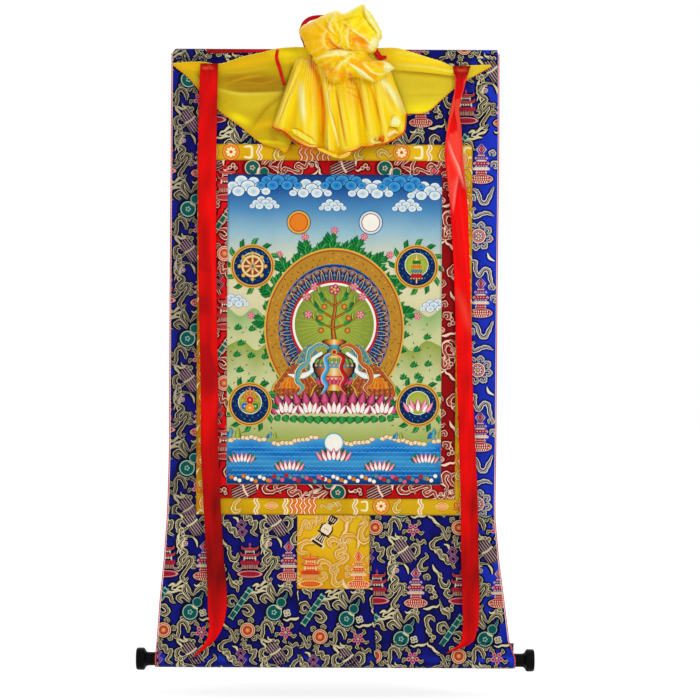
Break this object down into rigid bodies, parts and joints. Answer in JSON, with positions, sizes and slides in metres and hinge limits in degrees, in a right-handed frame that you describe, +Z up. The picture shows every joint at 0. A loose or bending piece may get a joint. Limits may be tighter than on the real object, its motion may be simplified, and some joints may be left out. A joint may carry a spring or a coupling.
{
  "type": "thangka scroll painting with bottom roller",
  "caption": "Painted cloth in red and yellow brocade borders on a blue brocade hanging, with a gathered yellow silk veil, long red ribbons and a wooden roller.",
  "frame": {"origin": "middle of the heading's top edge, where the hanging is held up", "axes": "+Z up along the hanging, +X to the right as seen from the front, -Y out of the front of the cloth"},
  "size_m": [0.7706, 0.1217, 1.2874],
  "materials": {
    "ground": "blue silk brocade with woven coloured motifs",
    "cord": "thin twisted red cord",
    "yellow": "golden yellow silk brocade",
    "red": "red silk brocade",
    "canvas": "painted cotton cloth, matte",
    "silk": "thin yellow silk with an orange hem",
    "satin": "red satin ribbon",
    "wood": "plain turned wood",
    "lacquer": "black gloss lacquer"
  },
  "bodies": {
    "root": {"ground_upper": "ground", "ground_lower_left": "ground", "ground_lower_centre": "ground", "ground_lower_right": "ground", "edge_cord_left": "cord", "edge_cord_right": "cord", "yellow_border_top": "yellow", "yellow_border_bottom": "yellow", "yellow_border_left": "yellow", "yellow_border_right": "yellow", "red_border_top": "red", "red_border_bottom": "red", "red_border_left": "red", "red_border_right": "red", "painting": "canvas", "apron_patch": "yellow", "veil": "silk", "ribbon_left": "satin", "ribbon_right": "satin", "top_tape": "satin", "hanging_loop": "satin", "veil_tie_left": "satin", "veil_tie_right": "satin", "roller_rod": "wood", "roller_knob_left": "lacquer", "roller_knob_right": "lacquer"}
  },
  "joints": []
}
